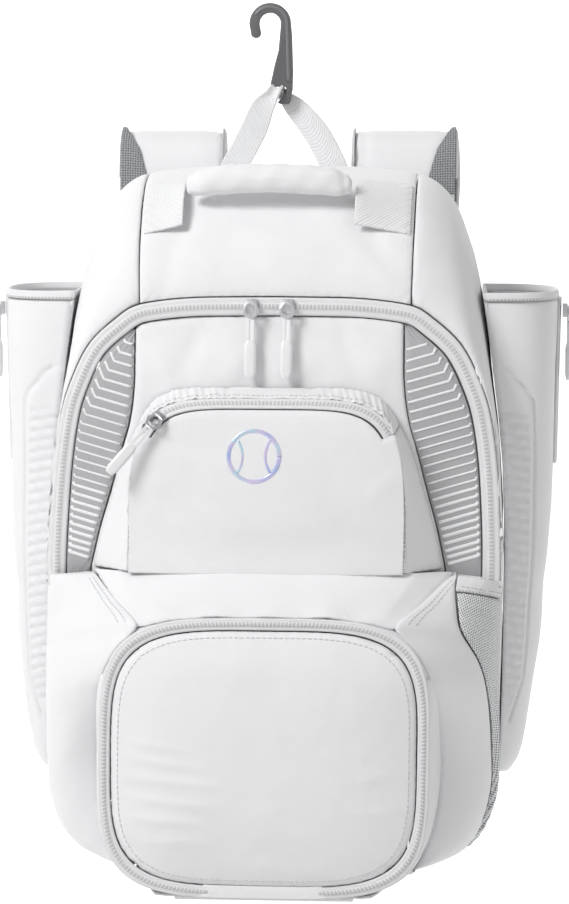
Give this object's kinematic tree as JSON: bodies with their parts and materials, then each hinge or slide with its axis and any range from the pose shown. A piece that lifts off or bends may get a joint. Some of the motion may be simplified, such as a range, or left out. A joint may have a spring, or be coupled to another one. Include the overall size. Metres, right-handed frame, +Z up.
{
  "type": "baseball bat backpack",
  "caption": "Soft padded sports backpack with an arched front door, two front pockets, flat bat sleeves on both sides and a hook at the top to hang it from a fence.",
  "frame": {"origin": "inside of the crook of the fence hook, where the bag hangs", "axes": "+Z up, the front of the bag faces -Y, +X is to the right as seen from the front"},
  "size_m": [0.4302, 0.3014, 0.639],
  "materials": {
    "white_cloth": "smooth padded polyester",
    "white_mesh": "open knitted mesh",
    "grey_mesh": "spacer mesh",
    "white_tape": "woven zip tape",
    "grey_panel": "ribbed coated cloth",
    "white_webbing": "woven webbing",
    "grey_plastic": "matte moulded",
    "white_plastic": "soft moulded",
    "steel": "plated"
  },
  "bodies": {
    "root": {"top_panel": "white_cloth", "side_panel_left": "white_cloth", "side_panel_right": "white_cloth", "back_panel": "white_cloth", "base_panel": "white_cloth", "door_panel": "white_cloth", "hip_panel_left": "white_cloth", "hip_panel_right": "white_cloth", "lower_pocket_front": "white_cloth", "lower_pocket_side_left": "white_cloth", "lower_pocket_side_right": "white_cloth", "divider_panel": "white_cloth", "upper_pocket_front": "white_cloth", "upper_pocket_side_left": "white_cloth", "upper_pocket_side_right": "white_cloth", "gathered_strip": "white_cloth", "yoke_panel": "white_cloth", "bat_sleeve_left": "white_cloth", "bat_sleeve_right": "white_cloth", "grab_handle": "white_cloth", "shoulder_strap_left": "white_cloth", "shoulder_strap_right": "white_cloth", "bottle_pocket_mesh": "white_mesh", "strap_lining_left": "grey_mesh", "strap_lining_right": "grey_mesh", "main_zip": "white_tape", "lower_zip": "white_tape", "upper_zip": "white_tape", "bottle_pocket_hem": "white_tape", "sleeve_rim_left": "white_tape", "sleeve_rim_right": "white_tape", "sleeve_zip_left": "white_tape", "sleeve_zip_right": "white_tape", "chevron_panel_left": "grey_panel", "chevron_panel_right": "grey_panel", "handle_tab_left": "white_webbing", "handle_tab_right": "white_webbing", "hang_loop": "white_webbing", "strap_tail_left": "white_webbing", "strap_tail_right": "white_webbing", "fence_hook": "grey_plastic", "strap_buckle_left": "grey_plastic", "strap_buckle_right": "grey_plastic", "base_plate": "white_plastic", "main_zip_left_pull": "white_plastic", "main_zip_right_pull": "white_plastic", "upper_zip_pull": "white_plastic", "sleeve_zip_left_pull": "white_plastic", "sleeve_zip_right_pull": "white_plastic", "main_zip_left_slider": "steel", "main_zip_right_slider": "steel", "upper_zip_slider": "steel", "sleeve_zip_left_slider": "steel", "sleeve_zip_right_slider": "steel"}
  },
  "joints": []
}
